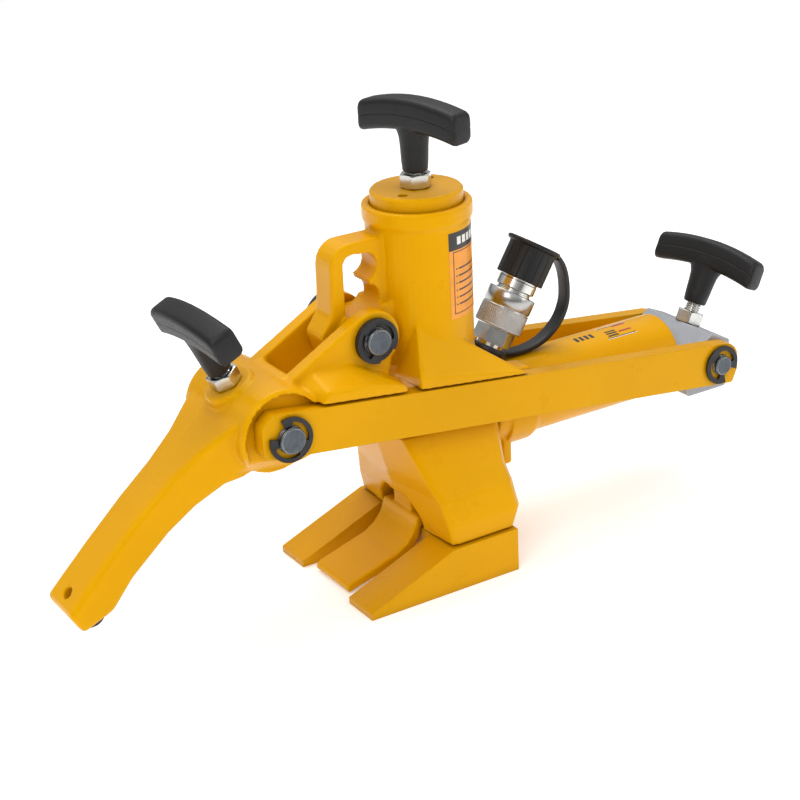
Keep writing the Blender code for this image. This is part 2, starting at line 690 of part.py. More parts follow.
def ring_outline(outer, pin_r, steps=48):
    """Retaining ring: a band with an opening, held on the pin by three inner prongs."""
    half_opening = 26.0
    grip = pin_r - 0.8
    relief = (outer + grip) / 2.0 + 0.6
    outside = []
    inside = []
    for k in range(steps + 1):
        angle = half_opening + (360.0 - 2.0 * half_opening) * k / steps
        prong = min(abs(angle - centre) for centre in (half_opening + 8.0, 180.0, 352.0 - half_opening))
        radius = grip if prong <= 21.0 else relief
        a = math.radians(angle)
        outside.append((outer * math.cos(a), outer * math.sin(a)))
        inside.append((radius * math.cos(a), radius * math.sin(a)))
    return outside + inside[::-1]


def ring(name, outer, pin_r, pivot, y, opening):
    """A retaining ring in its groove, its opening turned to an angle in the side view."""
    place = Matrix.Translation((0.0, y * MM, 0.0)) @ pin_frame(pivot)
    obj = slab(name, ring_outline(outer, pin_r), 1.6, place @ Matrix.Rotation(math.radians(opening), 4, "Z"))
    return finish(obj, "rubber")


def washer(name, outer, inner, pivot, y, thickness):
    half = thickness / 2.0
    obj = turned(name, tube_profile(outer, inner, half, -half, 0.3), Matrix.Translation((0.0, y * MM, 0.0))
                 @ pin_frame(pivot))
    return finish(obj, "rubber")


def pins_and_rings():
    face = CHEEK_OUTER_Y
    grooved_pin("upper_pin", PIN_R, face + 7.0, face + 0.8, UPPER_PIN, face + 3.6, head=(18.0, 4.5))
    washer("upper_washer", RING_R, PIN_R + 0.3, UPPER_PIN, -(face + 1.4), 1.9)
    ring("upper_ring", RING_R, PIN_R, UPPER_PIN, -(face + 3.6), 300.0)
    out = PLATE_OUTER_Y
    grooved_pin("lower_pin", PIN_R, out + 5.0, out + 5.0, LOWER_PIN, out + 1.6, out + 1.6)
    ring("lower_ring_near", RING_R, PIN_R, LOWER_PIN, -(out + 1.6), 140.0)
    ring("lower_ring_far", RING_R, PIN_R, LOWER_PIN, out + 1.6, 140.0)
    grooved_pin("rear_pin", REAR_PIN_R, out + 4.5, out + 4.5, REAR_PIN, out + 1.6, out + 1.6)
    ring("rear_ring_near", REAR_RING_R, REAR_PIN_R, REAR_PIN, -(out + 1.6), -50.0)
    ring("rear_ring_far", REAR_RING_R, REAR_PIN_R, REAR_PIN, out + 1.6, -50.0)


# ---------------------------------------------------------------- clamp cylinder inside and crosshead

def clamp_pieces():
    rod = cylinder("clamp_rod", CLAMP_ROD_R, 112.3, 212.2, barrel_frame(0.0), MEDIUM, 0.6)
    finish(rod, "steel")
    piston = turned("clamp_piston", [(0.0, 112.0), (21.7, 112.0), (21.7, 107.5), (19.0, 107.5), (19.0, 103.5),
                                     (21.7, 103.5), (21.7, 98.0), (0.0, 98.0)], barrel_frame(0.0))
    finish(piston, "steel")
    seal = turned("clamp_seal", tube_profile(21.8, 19.2, 107.2, 103.8), barrel_frame(0.0))
    finish(seal, "rubber")
    gland = turned("clamp_gland", tube_profile(21.7, CLAMP_ROD_R + 0.2, BARREL_END_X - 0.2, 184.0, 1.0),
                   barrel_frame(0.0))
    finish(gland, "bronze")


def crosshead():
    """Yoke that the rod pushes back, chamfered toward the barrel, with a leaning top."""
    half = PLATE_INNER_Y - 0.6
    back_x = 243.0
    back_z = RIDGE[1] - (back_x - RIDGE[0]) * math.tan(math.radians(REAR_LEAN))
    side = rounded([(203.6, 76.0, 2.0), (back_x, 76.0, 6.0), (back_x, back_z, 2.0), (RIDGE[0], RIDGE[1], 0.8),
                    (203.6, 103.0, 2.0)])
    head = slab("crosshead", side, 2.0 * half, along_y(0.0))
    add_bevel(head, 1.0, 1, 60.0)
    mount = axis_frame(*REAR_MOUNT)
    cut(head,
        cylinder("cut_rod_seat", CLAMP_ROD_R + GAP, 195.0, 212.6, barrel_frame(0.0)),
        cylinder("cut_rear_bore", REAR_PIN_R + 0.9, -60.0, 60.0, pin_frame(REAR_PIN)),
        cylinder("cut_rear_stud", STUD_R + GAP, -5.5, 12.0, mount, SMALL),
        hull("cut_corner_near", [(x, -half + y, z) for x in (195.0, 255.0)
                                 for y, z in ((-5.0, 113.0), (-5.0, 140.0), (12.0, 140.0))]))
    return finish(head, "grey")


# ---------------------------------------------------------------- T-handles

def t_handle(name, mount, turn, thread_show):
    """Arched grip on a tapered stem, screwed to a stud that passes through a jam nut."""
    x, z, lean = mount
    frame = axis_frame(x, z, lean, turn)
    stem_z = NUT_H + 0.3 + thread_show
    low = stem_z + 25.0
    half = HANDLE_LEN / 2.0
    side = rounded([(-half, low - 2.5, 5.0), (-half + 22.0, low + 0.5, 10.0), (0.0, low + 2.5, 30.0),
                    (half - 22.0, low + 0.5, 10.0), (half, low - 2.5, 5.0), (half - 1.5, low + 17.0, 5.0),
                    (half - 22.0, low + 21.5, 30.0), (0.0, low + 23.5, 90.0), (22.0 - half, low + 21.5, 30.0),
                    (1.5 - half, low + 17.0, 5.0)], 4)
    upright = frame @ Matrix.Rotation(math.radians(90), 4, "Z") @ Matrix.Rotation(math.radians(90), 4, "X")
    grip = slab(name, side, 18.0, upright, 3.0)
    flare = [(0.0, low + 12.0), (10.5, low + 12.0), (12.5, low + 3.0), (10.8, low - 3.0), (9.4, stem_z + 1.5),
             (8.2, stem_z), (0.0, stem_z)]
    stem = turned("cut_%s_stem" % name, flare, frame)
    join(grip, stem)
    cut(grip, cylinder("cut_%s_socket" % name, STUD_R + GAP, stem_z - 5.0, low + 8.0, frame, SMALL))
    finish(grip, "plastic")
    prefix = name.rsplit("_", 1)[0]
    depth = 5.0 if prefix == "rear" else 12.0
    finish(cylinder(prefix + "_stud", STUD_R, -depth, low + 7.0, frame, SMALL, 0.6), "zinc")
    nut = hexagon(prefix + "_jam_nut", NUT_FLATS, 0.3, NUT_H, frame)
    cut(nut, cylinder("cut_%s_thread" % name, STUD_R + GAP, -5.0, NUT_H + 5.0, frame, SMALL))
    finish(nut, "zinc")


# ---------------------------------------------------------------- quick coupler

def coupler_frame():
    return axis_frame(COUPLER_BASE[0], COUPLER_BASE[1], COUPLER_LEAN)


def coupler():
    frame = coupler_frame()
    adapter = turned("coupler_adapter", [(0.0, -2.0), (9.6, -2.0), (9.6, -29.6), (0.0, -29.6)], frame, SMALL)
    join(adapter, hexagon("cut_adapter_hex", 24.5, -3.0, 7.7, frame))
    finish(adapter, "zinc")
    body = turned("coupler_body", [(0.0, 22.0), (8.5, 22.0), (8.5, 61.0), (14.0, 61.0), (14.0, 36.4), (12.6, 36.0),
                                   (12.6, 8.0), (0.0, 8.0)], frame)
    finish(body, "zinc")
    sleeve = turned("coupler_sleeve", tube_profile(SLEEVE_R, 12.9, 34.8, 8.4, 0.8), frame, BIG)
    finish(sleeve, "zinc")
    poppet = turned("coupler_poppet", [(0.0, 57.0), (5.0, 57.0), (8.2, 53.0), (8.2, 48.0), (4.0, 48.0), (4.0, 28.0),
                                       (0.0, 28.0)], frame, SMALL)
    finish(poppet, "steel")
    cap = turned("dust_cap", [(0.0, 72.0), (CAP_FLANGE_R, 72.0), (CAP_FLANGE_R, 69.0), (SLEEVE_R, 68.5),
                              (SLEEVE_R, 45.0), (14.3, 45.0), (14.3, 66.0), (0.0, 66.0)], frame, BIG)
    finish(cap, "rubber")


def strap_route():
    """The strap leaves its ring under the coupler, loops out and rises to the cap's rim."""
    return [(62.0, 134.6), (68.0, 133.4), (76.0, 132.6), (86.0, 133.0), (97.0, 135.8), (107.0, 141.8),
            (114.5, 150.0), (118.8, 160.0), (119.6, 170.0), (118.6, 180.0), (116.2, 188.0), (114.6, 191.5)]


def strap():
    frame = coupler_frame()
    collar = turned("dust_cap_strap", tube_profile(13.2, 10.1, -5.6, -11.4), frame)
    curve = bpy.data.curves.new("strap", "CURVE")
    curve.dimensions = "3D"
    curve.bevel_depth = 2.0 * MM
    curve.bevel_resolution = 2
    curve.use_fill_caps = True
    route = strap_route()
    points = curve.splines.new("POLY").points
    points.add(len(route) - 1)
    for point, (x, z) in zip(points, route):
        point.co = (x * MM, 0.0, z * MM, 1.0)
    source = bpy.data.objects.new("strap_curve", curve)
    CUTTERS.objects.link(source)
    band = mesh_from(source, "cut_strap_band", Matrix.Scale(2.4, 4, Vector((0.0, 1.0, 0.0))))
    join(collar, band)
    return finish(collar, "rubber")


# ---------------------------------------------------------------- joints

def carry(name, frame, pieces, holder=None):
    """An empty on a joint axis that carries the pieces that move about or along it."""
    empty = bpy.data.objects.new(name, None)
    empty.empty_display_size = 20.0 * MM
    PARTS.objects.link(empty)
    empty.matrix_world = frame
    for piece in pieces:
        obj = bpy.data.objects[piece]
        obj.parent = empty
        obj.matrix_parent_inverse = frame.inverted()
    if holder:
        empty.parent = holder
        empty.matrix_parent_inverse = holder.matrix_world.inverted()
    return empty


def joints():
    carry("ram_axis", Matrix.Identity(4), ["push_foot", "ram_rod", "ram_piston", "ram_seal", "foot_set_screw"])
    arm = carry("arm_axis", pin_frame(UPPER_PIN),
                ["clamp_arm", "arm_tip_pad", "arm_jam_nut", "lower_pin", "lower_ring_near", "lower_ring_far"])
    carry("link_axis", pin_frame(LOWER_PIN),
          ["side_plate_near", "side_plate_far", "rear_pin", "rear_ring_near", "rear_ring_far"], arm)
    slide = carry("crosshead_axis", barrel_frame(0.0),
                  ["crosshead", "clamp_rod", "clamp_piston", "clamp_seal", "rear_jam_nut"])
    carry("top_grip_axis", axis_frame(*TOP_MOUNT), ["top_handle", "top_stud"])
    carry("arm_grip_axis", axis_frame(*ARM_MOUNT), ["arm_handle", "arm_stud"], arm)
    carry("rear_grip_axis", axis_frame(*REAR_MOUNT), ["rear_handle", "rear_stud"], slide)
    carry("coupler_axis", coupler_frame(), ["coupler_sleeve", "dust_cap", "coupler_poppet"])


def build():
    main_casting()
    cylinder_cap()
    ram_pieces()
    springs()
    jaw_block()
    tongue()
    push_foot()
    clamp_arm()
    side_plates()
    pins_and_rings()
    clamp_pieces()
    crosshead()
    t_handle("top_handle", TOP_MOUNT, TOP_TURN, 1.0)
    t_handle("arm_handle", ARM_MOUNT, ARM_TURN, 1.0)
    t_handle("rear_handle", REAR_MOUNT, REAR_TURN, 6.0)
    coupler()
    strap()
    bpy.context.view_layer.update()
    joints()


build()
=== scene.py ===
"""Looks of the bead breaker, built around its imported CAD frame.
"""
import math

import bmesh
import bpy
from mathutils import Matrix, Vector


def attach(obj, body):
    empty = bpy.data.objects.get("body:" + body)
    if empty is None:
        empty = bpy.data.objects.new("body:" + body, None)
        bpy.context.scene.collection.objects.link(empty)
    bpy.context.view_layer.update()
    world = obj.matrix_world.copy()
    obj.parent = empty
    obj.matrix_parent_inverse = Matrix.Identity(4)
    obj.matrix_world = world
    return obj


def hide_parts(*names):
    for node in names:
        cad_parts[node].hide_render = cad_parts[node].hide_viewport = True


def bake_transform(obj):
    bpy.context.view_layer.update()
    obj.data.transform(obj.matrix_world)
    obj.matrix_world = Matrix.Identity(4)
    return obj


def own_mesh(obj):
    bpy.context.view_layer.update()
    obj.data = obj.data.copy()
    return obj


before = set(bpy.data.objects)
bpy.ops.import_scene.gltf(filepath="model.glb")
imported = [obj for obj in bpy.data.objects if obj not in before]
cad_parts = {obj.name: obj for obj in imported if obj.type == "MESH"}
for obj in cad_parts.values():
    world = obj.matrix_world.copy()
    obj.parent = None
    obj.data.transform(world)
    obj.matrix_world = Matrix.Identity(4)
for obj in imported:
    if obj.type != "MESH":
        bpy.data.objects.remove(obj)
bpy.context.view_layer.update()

MM = 0.001

# Axes shared with the CAD: a point in the XZ plane, then the lean toward +X
TOP_MOUNT = (0.0, 267.5, 0.0)
ARM_MOUNT = (-148.0, 167.0, -25.0)
REAR_LEAN = 24.0
REAR_MOUNT = (234.0, 119.8 - 8.0 * math.tan(math.radians(REAR_LEAN)), REAR_LEAN)
TURNS = {"top": 16.0, "arm": 2.0, "rear": 18.0}
COUPLER_MOUNT = (57.0, 147.0, 32.0)
UPPER_PIN = (-53.6, 181.2)
LOWER_PIN = (-130.8, 139.7)
REAR_PIN = (224.6, 100.2)
BARREL_Z = 100.7
BARREL_R = 29.0
TOWER_R = 35.2
NUT_FLATS = 19.0
NUT_H = 9.5
STUD_R = 5.8
HANDLE_LEN = 84.0
STEM_RISE = 25.0                # from a stem's foot to the underside of its grip
THREAD_SHOW = {"top": 1.0, "arm": 1.0, "rear": 6.0}
STUD_DEPTH = {"top": 12.0, "arm": 12.0, "rear": 5.0}

# Return springs: mean radius, wire radius, turns, then both ends along the spring's axis
MAIN_SPRING = (21.0, 1.6, 5, 142.6, 227.1)
CLAMP_SPRING = (16.5, 1.3, 6, 115.6, 182.9)

# Height of a printed film's two faces over the paint, and of ink laid over that film
FILM = (0.0, 0.14)
OVERPRINT = (0.1, 0.19)


# ---------------------------------------------------------------- placing

def axis_frame(mount, turn=0.0):
    """Local +Z leans toward +X from a point in the XZ plane, turned about itself."""
    x, z, lean = mount
    tilt = Matrix.Rotation(math.radians(lean), 4, "Y")
    return Matrix.Translation((x, 0.0, z)) @ tilt @ Matrix.Rotation(math.radians(turn), 4, "Z")


def lerp(a, b, t):
    return a + (b - a) * t


# ---------------------------------------------------------------- materials

class Finish:
    """A node material with a few short ways to add nodes."""

    def __init__(self, name):
        self.mat = bpy.data.materials.new(name)
        self.mat.use_nodes = True
        self.tree = self.mat.node_tree
        self.shader = self.tree.nodes["Principled BSDF"]
        self.where = self.add("ShaderNodeTexCoord").outputs["Object"]

    def add(self, kind, **inputs):
        node = self.tree.nodes.new(kind)
        for name, value in inputs.items():
            socket = node.inputs[name.replace("_", " ")]
            if isinstance(value, bpy.types.NodeSocket):
                self.tree.links.new(value, socket)
            else:
                socket.default_value = value
        return node

    def stretched(self, scale, turn=(0.0, 0.0, 0.0), shift=(0.0, 0.0, 0.0)):
        mapping = self.add("ShaderNodeMapping", Vector=self.where, Scale=scale, Rotation=turn, Location=shift)
        return mapping.outputs["Vector"]

    def noise(self, scale, detail=3.0, rough=0.55, where=None):
        node = self.add("ShaderNodeTexNoise", Vector=where or self.where, Scale=scale, Detail=detail,
                        Roughness=rough)
        return node.outputs["Fac"]

    def math(self, operation, a, b=0.0, c=0.0, clamp=False):
        node = self.tree.nodes.new("ShaderNodeMath")
        node.operation = operation
        node.use_clamp = clamp
        for socket, value in zip(node.inputs, (a, b, c)):
            if isinstance(value, bpy.types.NodeSocket):
                self.tree.links.new(value, socket)
            else:
                socket.default_value = value
        return node.outputs[0]

    def span(self, value, low, high, out_low, out_high):
        """The value's stretch from low to high, mapped to another stretch and held there."""
        node = self.add("ShaderNodeMapRange", Value=value, From_Min=low, From_Max=high, To_Min=out_low,
                        To_Max=out_high)
        return node.outputs["Result"]

    def blend(self, factor, a, b):
        node = self.tree.nodes.new("ShaderNodeMix")
        node.data_type = "RGBA"
        sockets = [s for s in node.inputs if s.type == "RGBA"]
        for socket, value in zip([node.inputs["Factor"]] + sockets, (factor, a, b)):
            if isinstance(value, bpy.types.NodeSocket):
                self.tree.links.new(value, socket)
            else:
                socket.default_value = value
        return [s for s in node.outputs if s.type == "RGBA"][0]

    def edges(self, radius):
        """About 0 on flat surfaces and up to 1 along edges within the radius."""
        bevel = self.add("ShaderNodeBevel", Radius=radius * MM)
        bevel.samples = 4
        normal = self.add("ShaderNodeNewGeometry").outputs["Normal"]
        dot = self.add("ShaderNodeVectorMath")
        dot.operation = "DOT_PRODUCT"
        self.tree.links.new(bevel.outputs["Normal"], dot.inputs[0])
        self.tree.links.new(normal, dot.inputs[1])
        return self.span(dot.outputs["Value"], 0.995, 0.9, 0.0, 1.0), bevel.outputs["Normal"]

    def crevice_shade(self, distance):
        # Painted shade: ambient occlusion that darkens corners, creases and gaps between parts.
        node = self.add("ShaderNodeAmbientOcclusion", Distance=distance * MM)
        node.samples = 6
        return node.outputs["AO"]

    def bump(self, layers, normal=None):
        """Bump layers as (height, strength, depth in mm), each on top of the last."""
        for height, strength, depth in layers:
            node = self.add("ShaderNodeBump", Height=height, Strength=strength, Distance=depth * MM)
            if normal is not None:
                self.tree.links.new(normal, node.inputs["Normal"])
            normal = node.outputs["Normal"]
        return normal

    def done(self, colour, roughness, normal=None, **constants):
        for name, value in (("Base Color", colour), ("Roughness", roughness), ("Normal", normal)):
            if value is None:
                continue
            if isinstance(value, bpy.types.NodeSocket):
                self.tree.links.new(value, self.shader.inputs[name])
            else:
                self.shader.inputs[name].default_value = value
        for name, value in constants.items():
            self.shader.inputs[name.replace("_", " ")].default_value = value
        return self.mat


def shade(colour, factor):
    return tuple(min(1.0, c * factor) for c in colour[:3]) + (1.0,)


def enamel(name, colour, cast=0.0):
    """Glossy enamel: orange peel, faint runs of tone, paler edges that are partly wear and partly a painted
    highlight, and painted shade in the corners.
    """
    f = Finish(name)
    tone = f.blend(f.span(f.noise(9.0, 4.0), 0.3, 0.7, 0.0, 1.0), shade(colour, 0.93), shade(colour, 1.05))
    speck = f.span(f.noise(900.0, 2.0), 0.68, 0.78, 0.0, 0.35)
    tone = f.blend(speck, tone, shade(colour, 0.8))
    edge, soft = f.edges(0.9)
    # Paler edges, broken up by noise: partly paint wear, partly a painted highlight.
    edge_wear_and_highlight = f.math("MULTIPLY", edge, f.span(f.noise(60.0, 5.0), 0.35, 0.7, 0.10, 0.45))
    tone = f.blend(edge_wear_and_highlight, tone, (0.90, 0.55, 0.02, 1.0))
    # Painted shade: corners and creases darkened toward a deeper yellow.
    tone = f.blend(f.span(f.crevice_shade(7.0), 0.35, 0.95, 0.5, 0.0), tone, shade(colour, 0.42))
    layers = [(f.noise(330.0, 2.0, 0.5), 0.22, 0.25)]
    if cast:
        layers.insert(0, (f.noise(95.0, 4.0, 0.6), cast, 0.9))
        layers.append((f.noise(1300.0, 3.0, 0.6), 0.12, 0.12))
    rough = f.span(f.noise(40.0, 4.0), 0.3, 0.7, 0.24, 0.40)
    return f.done(tone, rough, f.bump(layers, soft), Specular_IOR_Level=0.40,
                  Specular_Tint=(1.0, 0.70, 0.05, 1.0), Coat_Weight=0.04, Coat_Roughness=0.10)


def moulded(name, colour, grain=1500.0):
    """Black plastic with a spark-eroded grain and a painted highlight that lightens its edges."""
    f = Finish(name)
    edge, soft = f.edges(0.8)
    tone = f.blend(f.span(f.noise(25.0, 4.0), 0.3, 0.7, 0.0, 1.0), shade(colour, 0.8), shade(colour, 1.25))
    # Painted highlight: the edges are lightened in colour.
    tone = f.blend(f.math("MULTIPLY", edge, 0.25), tone, shade(colour, 3.0))
    rough = f.span(f.noise(grain * 0.6, 2.0), 0.3, 0.7, 0.40, 0.58)
    layers = [(f.noise(grain, 2.0, 0.6), 0.55, 0.16), (f.noise(120.0, 3.0), 0.15, 0.3)]
    return f.done(tone, rough, f.bump(layers, soft), Specular_IOR_Level=0.38)


def soft_rubber(name, colour, rough_low=0.34, rough_high=0.5):
    """Black elastomer with a faint bloom and fine moulding marks."""
    f = Finish(name)
    bloom = f.span(f.noise(45.0, 6.0, 0.65), 0.45, 0.8, 0.0, 0.5)
    tone = f.blend(bloom, colour, shade(colour, 2.2))
    rough = f.span(f.noise(70.0, 4.0), 0.3, 0.7, rough_low, rough_high)
    layers = [(f.noise(260.0, 3.0), 0.2, 0.3), (f.noise(1800.0, 2.0), 0.2, 0.08)]
    return f.done(tone, rough, f.bump(layers))


def plated(name, colour, low=0.18, high=0.36, turned_scale=None):
    """Zinc or nickel plate with tool marks, cloudy roughness and slight tarnish."""
    f = Finish(name)
    cloud = f.noise(55.0, 4.0, 0.5)
    tone = f.blend(f.span(cloud, 0.35, 0.7, 0.0, 1.0), shade(colour, 1.08), shade(colour, 0.80))
    tarnish = f.span(f.noise(120.0, 5.0, 0.6), 0.60, 0.78, 0.0, 0.22)
    tone = f.blend(tarnish, tone, (0.34, 0.30, 0.22, 1.0))
    marks = f.noise(60.0, 3.0, 0.6, f.stretched(turned_scale or (8.0, 8.0, 60.0)))
    rough = f.math("ADD", f.span(marks, 0.3, 0.7, low, high), f.math("MULTIPLY", tarnish, 0.25))
    layers = [(marks, 0.05, 0.05), (f.noise(700.0, 3.0), 0.05, 0.04)]
    edge, soft = f.edges(0.4)
    return f.done(tone, rough, f.bump(layers, soft), Metallic=1.0)


def turned_face(name, pivot, colour, dark):
    """A pin's end: lathe rings about its axis, a dark oxide middle and a bright rim that is partly wear and
    partly a painted highlight.
    """
    f = Finish(name)
    centred = f.stretched((1.0, 0.0, 1.0), shift=(-pivot[0] * MM, 0.0, -pivot[1] * MM))
    length = f.add("ShaderNodeVectorMath")
    length.operation = "LENGTH"
    f.tree.links.new(centred, length.inputs[0])
    radius = length.outputs["Value"]
    rings = f.math("SINE", f.math("MULTIPLY", radius, 9000.0))
    smudge = f.noise(160.0, 5.0, 0.65)
    edge, soft = f.edges(0.7)
    tone = f.blend(f.span(smudge, 0.35, 0.7, 0.0, 1.0), dark, shade(dark, 1.7))
    # Bright rim: partly wear, partly a painted highlight.
    tone = f.blend(f.math("MULTIPLY", edge, 0.9), tone, colour)
    rough = f.span(smudge, 0.3, 0.7, 0.26, 0.48)
    layers = [(rings, 0.12, 0.06), (f.noise(600.0, 3.0), 0.12, 0.1)]
    return f.done(tone, rough, f.bump(layers, soft), Metallic=1.0)


def oxide(name):
    """Black oxide spring steel with oil sheen and slightly bright edges, a painted highlight."""
    f = Finish(name)
    edge, soft = f.edges(0.35)
    mottle = f.span(f.noise(90.0, 5.0), 0.35, 0.7, 0.0, 1.0)
    tone = f.blend(mottle, (0.010, 0.010, 0.011, 1.0), (0.026, 0.026, 0.028, 1.0))
    # Painted highlight: the edges are lightened in colour.
    tone = f.blend(f.math("MULTIPLY", edge, 0.3), tone, (0.16, 0.15, 0.14, 1.0))
    rough = f.span(f.noise(200.0, 4.0), 0.3, 0.7, 0.30, 0.48)
    return f.done(tone, rough, f.bump([(f.noise(900.0, 3.0), 0.15, 0.08)], soft), Metallic=0.35)


def primer(name):
    """Grey cast yoke: matt primer with grinder marks on a bright bevelled edge, partly ground metal and
    partly a painted highlight.
    """
    f = Finish(name)
    edge, soft = f.edges(1.4)
    mottle = f.span(f.noise(30.0, 5.0), 0.3, 0.7, 0.0, 1.0)
    tone = f.blend(mottle, (0.27, 0.285, 0.31, 1.0), (0.36, 0.375, 0.40, 1.0))
    tone = f.blend(f.span(f.noise(420.0, 4.0), 0.6, 0.75, 0.0, 0.4), tone, (0.16, 0.17, 0.185, 1.0))
    # Bright edges: partly ground metal, partly a painted highlight.
    tone = f.blend(f.math("MULTIPLY", edge, 0.8), tone, (0.68, 0.68, 0.67, 1.0))
    grind = f.noise(40.0, 3.0, 0.6, f.stretched((30.0, 3.0, 30.0)))
    rough = f.span(grind, 0.3, 0.7, 0.36, 0.55)
    layers = [(f.noise(150.0, 4.0), 0.35, 0.35), (grind, 0.12, 0.15)]
    return f.done(tone, rough, f.bump(layers, soft), Metallic=0.35)


def printed(name, colour, rough=0.42):
    """Ink or film of a decal, faintly uneven."""
    f = Finish(name)
    tone = f.blend(f.span(f.noise(140.0, 4.0), 0.3, 0.7, 0.0, 1.0), shade(colour, 0.9), shade(colour, 1.06))
    gloss = f.span(f.noise(60.0, 3.0), 0.3, 0.7, rough - 0.08, rough + 0.08)
    pebble = f.bump([(f.noise(260.0, 2.0), 0.12, 0.12)])
    return f.done(tone, gloss, pebble, Coat_Weight=0.25, Coat_Roughness=0.2)


YELLOW = (0.73, 0.345, 0.0, 1.0)
BLACK = (0.0050, 0.0050, 0.0054, 1.0)
ZINC = (0.66, 0.66, 0.63, 1.0)

CAST = enamel("cast_enamel", YELLOW, 0.10)
FLAT = enamel("plate_enamel", shade(YELLOW, 0.94))
GRIP = moulded("grip_plastic", BLACK)
CAP_PLASTIC = moulded("cap_plastic", shade(BLACK, 0.8), 2600.0)
STRAP_RUBBER = soft_rubber("strap_rubber", BLACK)
PAD_RUBBER = soft_rubber("pad_rubber", shade(BLACK, 1.2), 0.5, 0.7)
BRIGHT = plated("bright_zinc", ZINC, 0.12, 0.26)
SATIN = plated("satin_nickel", (0.46, 0.455, 0.44, 1.0), 0.20, 0.34, (40.0, 40.0, 40.0))
CHROME = plated("hard_chrome", (0.70, 0.71, 0.72, 1.0), 0.08, 0.16, (60.0, 60.0, 6.0))
STEEL = plated("machined_steel", (0.42, 0.43, 0.44, 1.0), 0.26, 0.44, (50.0, 50.0, 10.0))
BRONZE = plated("bearing_bronze", (0.58, 0.38, 0.14, 1.0), 0.25, 0.42, (40.0, 40.0, 40.0))
OXIDE = oxide("black_oxide")
YOKE = primer("grey_primer")

NODE_FINISHES = (
    (CAST, ("main_casting", "jaw_block", "guide_tongue", "clamp_arm")),
    (FLAT, ("cylinder_cap", "push_foot", "side_plate_near", "side_plate_far")),
    (YOKE, ("crosshead",)),
    (CHROME, ("ram_rod", "clamp_rod")),
    (STEEL, ("ram_piston", "clamp_piston", "foot_set_screw", "coupler_poppet")),
    (BRONZE, ("ram_bush", "clamp_gland")),
    (PAD_RUBBER, ("ram_seal", "clamp_seal", "arm_tip_pad")),
    (OXIDE, ("upper_washer", "upper_ring", "lower_ring_near", "lower_ring_far", "rear_ring_near",
             "rear_ring_far")),
    (BRIGHT, ("coupler_adapter",)),
)
PIN_RIM_WEAR_AND_HIGHLIGHT = (0.62, 0.62, 0.60, 1.0)
PIN_FACE = (0.075, 0.085, 0.095, 1.0)


def dress(name, finish):
    for material_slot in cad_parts[name].material_slots:
        material_slot.link = "OBJECT"
        material_slot.material = finish


def dress_nodes():
    """Finishes for the CAD nodes that stay in view or that no piece stands for."""
    for finish, names in NODE_FINISHES:
        for name in names:
            dress(name, finish)
    for name, pivot in (("upper_pin", UPPER_PIN), ("lower_pin", LOWER_PIN), ("rear_pin", REAR_PIN)):
        dress(name, turned_face(name + "_steel", pivot, PIN_RIM_WEAR_AND_HIGHLIGHT, PIN_FACE))


# ---------------------------------------------------------------- shapes

def publish(name, work, finish, body, replaced=(), smooth=35.0):
    """The bmesh as a piece with its finish; it may stand for CAD nodes, which it hides, and rides on a body
    if one is given.
    """
    bmesh.ops.remove_doubles(work, verts=work.verts, dist=0.000002)
    bmesh.ops.recalc_face_normals(work, faces=work.faces)
    limit = math.radians(smooth)
    for face in work.faces:
        face.smooth = True
    for edge in work.edges:
        edge.smooth = len(edge.link_faces) == 2 and edge.calc_face_angle() < limit
    mesh = bpy.data.meshes.new(name)
    work.to_mesh(mesh)
    work.free()
    mesh.materials.append(finish)
    obj = bpy.data.objects.new(name, mesh)
    bpy.context.scene.collection.objects.link(obj)
    if replaced:
        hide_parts(*replaced)
    if body:
        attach(obj, body)
    return obj


def skin(work, rows, matrix, wrap=True, cap=True):
    """Quads over rows of local points; each row is a closed ring, and the ends may be capped."""
    rings = [[work.verts.new((matrix @ Vector(p)) * MM) for p in row] for row in rows]
    count = len(rings[0])
    last = count if wrap else count - 1
    for ring, after in zip(rings, rings[1:]):
        for i in range(last):
            k = (i + 1) % count
            work.faces.new((ring[i], ring[k], after[k], after[i]))
    if cap:
        work.faces.new(rings[0][::-1])
        work.faces.new(rings[-1])
    return rings


def lathe(work, profile, matrix, steps=96, shape=None, loop=False):
    """A (radius, height) profile turned about local Z; shape(r, z, angle) may change the radius."""
    rows = []
    for r, z in (profile + profile[:1] if loop else profile):
        row = []
        for i in range(steps):
            a = 2.0 * math.pi * i / steps
            radius = shape(r, z, a) if shape else r
            row.append((radius * math.cos(a), radius * math.sin(a), z))
        rows.append(row)
    skin(work, rows, matrix, cap=not loop)


def fillet(profile, size, steps=3):
    """A profile with each corner between its ends rounded by about `size`."""
    out = [profile[0]]
    for before, here, after in zip(profile, profile[1:], profile[2:]):
        b, h, a = Vector(before), Vector(here), Vector(after)
        cut = min(size, (b - h).length * 0.45, (a - h).length * 0.45)
        start = h + (b - h).normalized() * cut
        end = h + (a - h).normalized() * cut
        for k in range(steps + 1):
            t = k / steps
            out.append(tuple(start.lerp(h, t).lerp(h.lerp(end, t), t)))
    out.append(profile[-1])
    return out


def smooth_path(points, per_span=6):
    """Points on a smooth curve through the given ones."""
    pts = [Vector(p) for p in points]
    out = []
    for i in range(len(pts) - 1):
        p0, p1, p2, p3 = pts[max(i - 1, 0)], pts[i], pts[i + 1], pts[min(i + 2, len(pts) - 1)]
        for k in range(per_span):
            t = k / per_span
            out.append(0.5 * ((2.0 * p1) + (p2 - p0) * t + (2.0 * p0 - 5.0 * p1 + 4.0 * p2 - p3) * t * t
                              + (3.0 * p1 - 3.0 * p2 + p3 - p0) * t * t * t))
    out.append(pts[-1])
    return out


# ---------------------------------------------------------------- return springs

